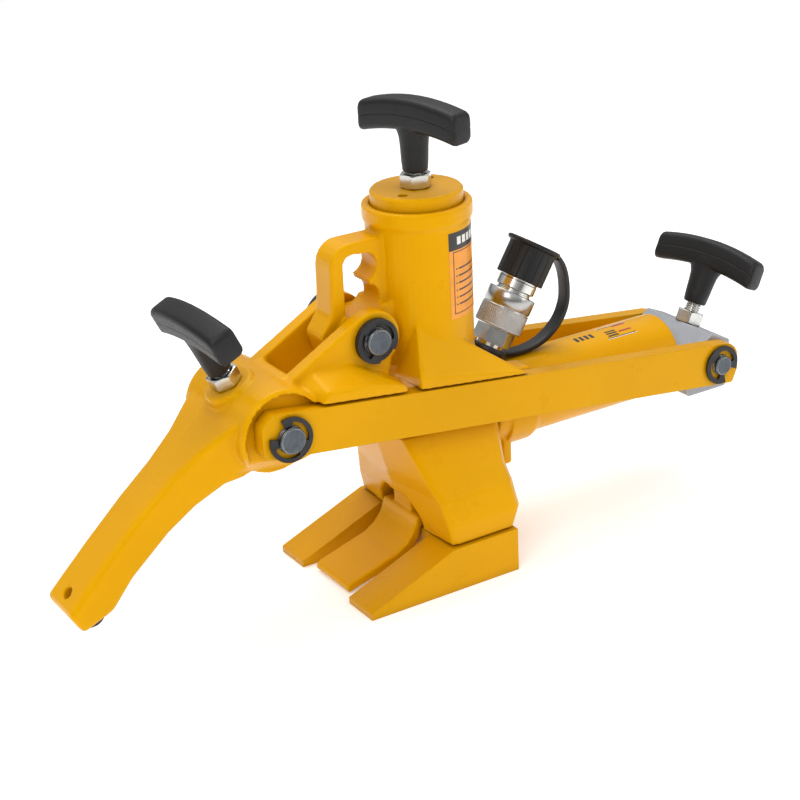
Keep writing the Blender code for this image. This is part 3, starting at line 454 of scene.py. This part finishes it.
def coil(mean_r, wire_r, turns, low, high, matrix):
    """Round wire wound along local Z, with tapered tips and closer turns at its ends and middle."""
    work = bmesh.new()
    per_turn, round_wire = 48, 14
    tapered, tip = 10, 0.45
    crowding = 0.045
    count = turns * per_turn
    rows = []
    for n in range(count + 1):
        t = n / count
        a = 2.0 * math.pi * turns * t
        z = lerp(low + wire_r, high - wire_r, t - crowding * math.sin(4.0 * math.pi * t))
        wire = wire_r * min(1.0, lerp(tip, 1.0, min(n, count - n) / tapered))
        row = []
        for k in range(round_wire):
            b = 2.0 * math.pi * k / round_wire
            r = mean_r + wire * math.cos(b)
            row.append((r * math.cos(a), r * math.sin(a), z + wire * math.sin(b)))
        rows.append(row)
    skin(work, rows, matrix)
    return work


def springs():
    """Both return springs as wound coils, riding on the casting."""
    main = publish("main_spring_coil", coil(*MAIN_SPRING, Matrix.Identity(4)), STEEL, "casting",
                   ("main_return_spring",), 60.0)
    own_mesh(main)
    barrel = axis_frame((0.0, BARREL_Z, 90.0))
    clamp = publish("clamp_spring_coil", coil(*CLAMP_SPRING, barrel), STEEL, "casting",
                    ("clamp_return_spring",), 60.0)
    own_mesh(clamp)


# ---------------------------------------------------------------- castings

def soften(name, voxel, rounds):
    """Cast radii on a CAD node: a fine skin over it, relaxed a few times."""
    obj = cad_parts[name]
    remesh = obj.modifiers.new("skin", "REMESH")
    remesh.mode = "VOXEL"
    remesh.voxel_size = voxel * MM
    remesh.use_smooth_shade = True
    relax = obj.modifiers.new("relax", "SMOOTH")
    relax.factor = 0.5
    relax.iterations = rounds


def ease(name, width):
    """Small machined radii on a CAD node's sharp edges."""
    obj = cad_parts[name]
    weld = obj.modifiers.new("weld", "WELD")
    weld.merge_threshold = 0.00001
    bevel = obj.modifiers.new("ease", "BEVEL")
    bevel.width = width * MM
    bevel.segments = 3
    bevel.limit_method = "ANGLE"
    bevel.angle_limit = math.radians(35.0)


def castings():
    soften("main_casting", 0.95, 4)
    soften("clamp_arm", 1.0, 5)
    soften("jaw_block", 1.0, 5)
    soften("guide_tongue", 0.8, 4)
    for name, width in (("push_foot", 0.9), ("crosshead", 0.5), ("cylinder_cap", 0.4)):
        ease(name, width)


# ---------------------------------------------------------------- fasteners

def hex_radius(flats, a):
    step = math.radians(60.0)
    return flats / 2.0 / math.cos((a % step) - step / 2.0)


def jam_nut(prefix, matrix, body):
    """Hexagon nut with turned chamfers on both faces and a countersunk thread."""
    work = bmesh.new()
    steps = 96
    rows = []
    corner = NUT_FLATS / 2.0 * 0.965

    def ring(radius_of, height_of):
        row = []
        for i in range(steps):
            a = 2.0 * math.pi * (i + 0.5) / steps
            r = radius_of(a)
            row.append((r * math.cos(a), r * math.sin(a), height_of(r)))
        rows.append(row)

    def drop(r):
        return max(0.0, r - corner) * math.tan(math.radians(28.0))

    low, high = 0.3, NUT_H
    ring(lambda a: STUD_R + 0.25, lambda r: low + 0.9)
    ring(lambda a: STUD_R + 1.1, lambda r: low)
    ring(lambda a: corner, lambda r: low)
    ring(lambda a: hex_radius(NUT_FLATS, a), lambda r: low + drop(r))
    ring(lambda a: hex_radius(NUT_FLATS, a), lambda r: high - drop(r))
    ring(lambda a: corner, lambda r: high)
    ring(lambda a: STUD_R + 1.1, lambda r: high)
    ring(lambda a: STUD_R + 0.25, lambda r: high - 0.9)
    rows.append(list(rows[0]))
    skin(work, rows, matrix, cap=False)
    publish(prefix + "_nut", work, BRIGHT, body, (prefix + "_jam_nut",), 24.0)


def threaded_stud(prefix, matrix, body, low, high):
    """A stud with a real helical thread."""
    pitch = 1.75
    steps = 40
    per_pitch = 6
    work = bmesh.new()
    count = int((high - low) / pitch * per_pitch)
    rows = []
    for n in range(count + 1):
        z = lerp(low, high, n / count)
        ends = min(1.0, (z - low) / 1.2, (high - z) / 1.2)
        row = []
        for i in range(steps):
            a = 2.0 * math.pi * i / steps
            phase = (z / pitch - i / steps) % 1.0
            depth = abs(2.0 * phase - 1.0)
            r = STUD_R - 1.0 * min(1.0, max(0.0, (depth - 0.12) / 0.76)) - 0.8 * (1.0 - max(0.0, ends))
            row.append((r * math.cos(a), r * math.sin(a), z))
        rows.append(row)
    skin(work, rows, matrix)
    publish(prefix + "_thread", work, BRIGHT, body, (prefix + "_stud",), 50.0)


# ---------------------------------------------------------------- T-handles

def grip_section(half_y, half_z, radius, notch, steps=6):
    """Rounded rectangle in Y and Z with a parting line nicked into both sides."""
    points = []
    corners = ((1, 1, 0.0), (-1, 1, 90.0), (-1, -1, 180.0), (1, -1, 270.0))
    for sy, sz, start in corners:
        if (sy, sz) == (1, 1):
            points += [(half_y - notch, 0.0), (half_y, 0.45)]
        if (sy, sz) == (-1, -1):
            points += [(-half_y, 0.45), (notch - half_y, 0.0), (-half_y, -0.45)]
        for k in range(steps + 1):
            a = math.radians(start + 90.0 * k / steps)
            points.append((sy * (half_y - radius) + radius * math.cos(a),
                           sz * (half_z - radius) + radius * math.sin(a)))
    points.append((half_y, -0.45))
    return points


def grip_stations():
    """Stations along the bar: distance, droop of the middle, half width and half height."""
    half = HANDLE_LEN / 2.0
    stations = []
    ends = ((0.0, 0.74, 0.70), (0.5, 0.88, 0.86), (1.5, 0.965, 0.955), (3.2, 1.0, 1.0))
    for out, wide, tall in ends:
        stations.append((out - half, wide, tall))
    middle = 22
    for k in range(1, middle):
        stations.append((lerp(3.2 - half, half - 3.2, k / middle), 1.0, 1.0))
    for out, wide, tall in reversed(ends):
        stations.append((half - out, wide, tall))
    return stations


def t_handle(prefix, mount, body):
    """Arched moulded grip with drooping ends, on a flared stem."""
    matrix = axis_frame(mount, TURNS[prefix])
    stem_z = NUT_H + 0.3 + THREAD_SHOW[prefix]
    low = stem_z + STEM_RISE
    half = HANDLE_LEN / 2.0
    work = bmesh.new()
    rows = []
    for x, wide, tall in grip_stations():
        bend = (x / half) ** 2
        centre = low + lerp(13.0, 7.4, bend)
        half_y = lerp(8.8, 9.0, bend) * wide
        half_z = lerp(10.6, 10.3, bend) * tall
        section = grip_section(half_y, half_z, min(4.2, half_z * 0.6, half_y * 0.6), 0.4)
        rows.append([(y, x, centre + z) for y, z in section])
    skin(work, rows, matrix)
    profile = [(7.6, stem_z), (8.4, stem_z + 0.8), (9.2, stem_z + 8.0), (9.8, low - 9.0), (10.6, low - 3.0),
               (12.4, low + 1.0), (15.5, low + 3.8), (20.0, low + 6.2), (20.0, low + 10.0)]

    def flare(r, z, a):
        narrow = min(r, 8.7)
        return 1.0 / math.sqrt((math.sin(a) / r) ** 2 + (math.cos(a) / narrow) ** 2)

    lathe(work, fillet(profile, 1.2), matrix, 64, flare)
    publish(prefix + "_grip", work, GRIP, body, (prefix + "_handle",), 32.0)


def handles():
    inside_grip = STEM_RISE + 4.0
    for prefix, mount, held_by in (("top", TOP_MOUNT, "casting"), ("arm", ARM_MOUNT, "arm"),
                                   ("rear", REAR_MOUNT, "crosshead_slide")):
        jam_nut(prefix, axis_frame(mount, TURNS[prefix] + 30.0), held_by)
        t_handle(prefix, mount, prefix + "_grip")
        threaded_stud(prefix, axis_frame(mount), prefix + "_grip", -STUD_DEPTH[prefix],
                      NUT_H + THREAD_SHOW[prefix] + inside_grip)

# ---------------------------------------------------------------- quick coupler

def knurl(z_low, z_high, depth, count, rise):
    """Diamond knurl between two heights; the rest of the surface stays plain."""
    def shape(r, z, a):
        if z <= z_low or z >= z_high:
            return r
        u = count * a / (2.0 * math.pi)
        v = z / rise
        first = abs(((u + v) % 1.0) - 0.5) * 2.0
        second = abs(((u - v) % 1.0) - 0.5) * 2.0
        fade = min(1.0, (z - z_low) / 0.6, (z_high - z) / 0.6)
        return r - depth * (1.0 - max(first, second) * min(first + second, 1.0)) * fade
    return shape


def coupler():
    matrix = axis_frame(COUPLER_MOUNT)
    work = bmesh.new()
    foot = [(13.4, 8.4), (16.3, 8.4)]
    band = [(17.0, 8.9 + 0.3 * k) for k in range(47)]
    groove = [(16.4, 23.2), (16.4, 23.9), (17.0, 24.3)]
    collar = [(17.0, 34.1), (16.4, 34.8), (13.6, 34.8)]
    inside = [(12.9, 34.2), (12.9, 9.0)]
    diamonds = knurl(9.0, 22.6, 0.62, 52, 2.05)
    lathe(work, foot + band + groove + collar + inside, matrix, 384, diamonds, loop=True)
    publish("coupler_sleeve_knurled", work, SATIN, "sleeve", ("coupler_sleeve",), 60.0)

    work = bmesh.new()
    nose = [(12.55, 8.2), (12.55, 35.6), (12.0, 36.0), (12.0, 36.9), (13.4, 37.2), (14.0, 37.8), (14.0, 43.4),
            (13.7, 43.8), (13.7, 44.8), (14.0, 45.2), (14.0, 60.2), (13.2, 61.0), (9.0, 61.0), (8.5, 60.5),
            (8.5, 22.2), (8.0, 22.0), (8.0, 8.2)]
    lathe(work, nose, matrix, 128, loop=True)
    publish("coupler_nose", work, BRIGHT, "casting", ("coupler_body",))


def dust_cap():
    """Cap with shallow grip flutes, a rolled rim and a dished top."""
    matrix = axis_frame(COUPLER_MOUNT)
    work = bmesh.new()

    def flutes(r, z, a):
        if r < 16.2 or r > 17.2 or z > 68.2:
            return r
        wave = abs(math.sin(a * 9.0))
        return r - 0.55 * max(0.0, 1.0 - wave * 4.0)

    inside = [(0.01, 66.0), (13.7, 66.0), (14.3, 65.4), (14.3, 45.4)]
    skirt = [(14.8, 45.0), (16.6, 45.0), (17.0, 45.5), (17.0, 67.2)]
    rim = [(17.3, 68.4), (18.6, 68.8), (19.3, 69.2), (19.6, 69.9), (19.6, 71.0), (19.1, 71.8), (18.2, 72.0)]
    dish = [(16.4, 71.7), (15.6, 71.0), (14.6, 70.7), (4.0, 70.9), (3.4, 71.3), (0.01, 71.4)]
    lathe(work, inside + skirt + rim + dish, matrix, 180, flutes)
    publish("dust_cap_moulding", work, CAP_PLASTIC, "cap", ("dust_cap",), 30.0)


def strap():
    """Ring round the adapter's neck and a flat band that loops up to the cap's rim."""
    matrix = axis_frame(COUPLER_MOUNT)
    work = bmesh.new()
    ring = [(10.2, -5.9), (10.5, -5.6), (12.9, -5.6), (13.4, -6.2),
            (13.4, -10.8), (12.9, -11.4), (10.5, -11.4), (10.2, -11.1)]
    lathe(work, ring, matrix, 72, loop=True)
    route = [(60.0, 134.9), (68.0, 133.4), (76.0, 132.6), (86.0, 133.0), (97.0, 135.8), (107.0, 141.8),
             (114.5, 150.0), (118.8, 160.0), (119.6, 170.0), (118.6, 180.0), (116.2, 188.0), (112.6, 194.2)]
    path = smooth_path([(x, 0.0, z) for x, z in route], 6)
    rows = []
    last = len(path) - 1
    for n, here in enumerate(path):
        along = (path[min(n + 1, last)] - path[max(n - 1, 0)]).normalized()
        across = Vector((-along.z, 0.0, along.x))
        wide = lerp(4.6, 5.2, min(1.0, n / 12.0))
        thick = 1.7
        row = []
        for sy, st, start in ((1, 1, 0.0), (-1, 1, 90.0), (-1, -1, 180.0), (1, -1, 270.0)):
            for k in range(4):
                a = math.radians(start + 30.0 * k)
                row.append(here + Vector((0.0, sy * (wide - 0.8) + 0.8 * math.cos(a), 0.0))
                           + across * (st * (thick - 0.8) + 0.8 * math.sin(a)))
        rows.append(row)
    skin(work, rows, Matrix.Identity(4))
    band = publish("dust_cap_tether", work, STRAP_RUBBER, None, ("dust_cap_strap",), 180.0)
    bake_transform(band)


# ---------------------------------------------------------------- decals

def curved_patch(work, place, u_span, v_span, lift, steps=24):
    """A thin sheet laid on a curved face; place(u, v, height) gives its points."""
    rows = []
    for i in range(steps + 1):
        u = lerp(u_span[0], u_span[1], i / steps)
        rows.append([place(u, v_span[0], lift[0]), place(u, v_span[1], lift[0]),
                     place(u, v_span[1], lift[1]), place(u, v_span[0], lift[1])])
    skin(work, rows, Matrix.Identity(4))


def on_tower(u, v, height):
    """u in mm round the tower from its near side toward +X, v is the height."""
    a = u / TOWER_R - math.pi / 2.0
    r = TOWER_R + height
    return Vector((r * math.cos(a), r * math.sin(a), v))


def on_barrel(u, v, height):
    """u along +X, v in mm round the barrel from its top toward the near side."""
    a = v / BARREL_R
    r = BARREL_R + height
    return Vector((u, -r * math.sin(a), BARREL_Z + r * math.cos(a)))


def decal(name, finish, place, patches, lift):
    work = bmesh.new()
    for u0, u1, v0, v1 in patches:
        curved_patch(work, place, (u0, u1), (v0, v1), lift)
    publish(name, work, finish, "casting")


def frame_bars(u0, u1, v0, v1, w):
    """The four thin bars of a printed border."""
    across = [(u0, u1, v0, v0 + w), (u0, u1, v1 - w, v1)]
    upright = [(u0, u0 + w, v0 + w, v1 - w), (u1 - w, u1, v0 + w, v1 - w)]
    return across + upright


def tower_decals(black, orange, pale):
    """A plain panel with a header of blocks and rows of bars, wrapped round the cylinder."""
    left, right = 1.0, 50.0
    base, mid, top = 184.0, 231.0, 243.0
    margin, block_step, line_step = 3.2, 5.2, 4.9
    decal("tower_panel", orange, on_tower, [(left, right, base, mid)], FILM)
    decal("tower_header", black, on_tower, [(left, right, mid, top)], FILM)
    border = frame_bars(left + margin, right - margin, base + margin, mid - 1.0, 0.6)
    decal("tower_border", black, on_tower, border, OVERPRINT)
    starts = [left + 7.0 + block_step * k for k in range(7)]
    blocks = [(u, u + 3.6, mid + 3.4, mid + 8.6) for u in starts]
    decal("tower_header_blocks", pale, on_tower, blocks, OVERPRINT)
    bars = []
    for k, length in enumerate((34.0, 30.0, 36.0, 33.0, 27.0, 35.0)):
        v = base + 9.0 + line_step * k
        bars.append((left + 5.4, left + 6.4, v, v + 1.0))
        bars.append((left + 7.6, left + 7.6 + length, v, v + 1.1))
    decal("tower_lines", black, on_tower, bars, OVERPRINT)


def barrel_decals(black, pale, red):
    """A small tag and a row of blocks along the clamp cylinder."""
    start, end = 150.0, 176.0
    decal("barrel_tag", pale, on_barrel, [(start, end, -4.0, 13.0)], FILM)
    decal("barrel_tag_patch", red, on_barrel, [(start + 13.0, end - 2.0, -2.0, 8.0)], OVERPRINT)
    bars = [(start + 2.0, start + 11.0, 4.0 + 2.6 * k, 5.2 + 2.6 * k) for k in range(3)]
    bars += frame_bars(start + 0.8, end - 0.8, -3.2, 12.2, 0.4)
    decal("barrel_tag_bars", black, on_barrel, bars, OVERPRINT)
    stripe = [(126.0 + 4.4 * k, 128.6 + 4.4 * k, 1.0, 6.4) for k in range(4)]
    decal("barrel_stripe", black, on_barrel, stripe, FILM)


def decals():
    black = printed("decal_black", (0.012, 0.011, 0.011, 1.0))
    orange = printed("decal_orange", (0.86, 0.31, 0.012, 1.0))
    pale = printed("decal_pale", (0.83, 0.80, 0.74, 1.0))
    red = printed("decal_red", (0.48, 0.03, 0.025, 1.0))
    tower_decals(black, orange, pale)
    barrel_decals(black, pale, red)


# ---------------------------------------------------------------- camera, floor and light

def camera():
    """Above and in front of the near side, looking past the clamp arm."""
    place = (-0.6029, -0.9651, 0.5998)
    heading, tilt, roll = math.radians(31.12), math.radians(23.02), math.radians(-2.84)
    data = bpy.data.cameras.new("camera")
    data.lens = 81.0
    data.sensor_width = 36.0
    obj = bpy.data.objects.new("camera", data)
    bpy.context.scene.collection.objects.link(obj)
    view = Matrix.Rotation(-heading, 4, "Z") @ Matrix.Rotation(math.radians(90.0) - tilt, 4, "X")
    obj.matrix_world = Matrix.Translation(place) @ view @ Matrix.Rotation(roll, 4, "Z")
    bpy.context.scene.camera = obj


def floor():
    """A wide pale sheet that glows a little, so that it stays white far from the lights."""
    f = Finish("pale_floor")
    mottle = f.span(f.noise(3.0, 3.0), 0.3, 0.7, 0.0, 1.0)
    tone = f.blend(mottle, (0.90, 0.90, 0.90, 1.0), (0.93, 0.93, 0.93, 1.0))
    finish = f.done(tone, 0.75, f.bump([(f.noise(60.0, 3.0), 0.05, 0.2)]), Emission_Strength=0.30,
                    Emission_Color=(1.0, 1.0, 1.0, 1.0))
    half_side = 30.0
    work = bmesh.new()
    bmesh.ops.create_grid(work, x_segments=8, y_segments=8, size=half_side)
    mesh = bpy.data.meshes.new("floor")
    work.to_mesh(mesh)
    work.free()
    mesh.materials.append(finish)
    obj = bpy.data.objects.new("floor", mesh)
    bpy.context.scene.collection.objects.link(obj)


def area_light(name, place, target, size, power):
    data = bpy.data.lights.new(name, "AREA")
    data.shape = "RECTANGLE"
    data.size, data.size_y = size
    data.energy = power
    obj = bpy.data.objects.new(name, data)
    bpy.context.scene.collection.objects.link(obj)
    aim = Vector(target) - Vector(place)
    obj.matrix_world = Matrix.Translation(place) @ aim.to_track_quat("-Z", "Y").to_matrix().to_4x4()


def studio_world():
    """White light that falls from bright overhead to dim at the horizon, which gives the metals contrast."""
    world = bpy.data.worlds.new("studio")
    world.use_nodes = True
    tree = world.node_tree
    split = tree.nodes.new("ShaderNodeSeparateXYZ")
    tree.links.new(tree.nodes.new("ShaderNodeTexCoord").outputs["Generated"], split.inputs[0])
    rise = tree.nodes.new("ShaderNodeMapRange")
    tree.links.new(split.outputs["Z"], rise.inputs["Value"])
    for name, value in (("From Min", 0.05), ("From Max", 0.55), ("To Min", 0.10), ("To Max", 0.78)):
        rise.inputs[name].default_value = value
    sky = tree.nodes["Background"]
    tree.links.new(rise.outputs["Result"], sky.inputs["Strength"])
    sky.inputs["Color"].default_value = (1.0, 1.0, 1.0, 1.0)
    bpy.context.scene.world = world


def lights():
    studio_world()
    bpy.context.scene.view_settings.view_transform = "Standard"
    middle = (0.0, 0.0, 0.15)
    area_light("key", (-1.1, -0.9, 1.5), middle, (0.9, 0.9), 11.5)
    area_light("fill", (1.3, -1.2, 0.7), middle, (1.0, 0.7), 5.0)
    area_light("top", (0.2, 0.5, 1.6), middle, (1.2, 0.8), 11.0)


camera()
floor()
lights()
dress_nodes()
castings()
springs()
handles()
coupler()
dust_cap()
strap()
decals()
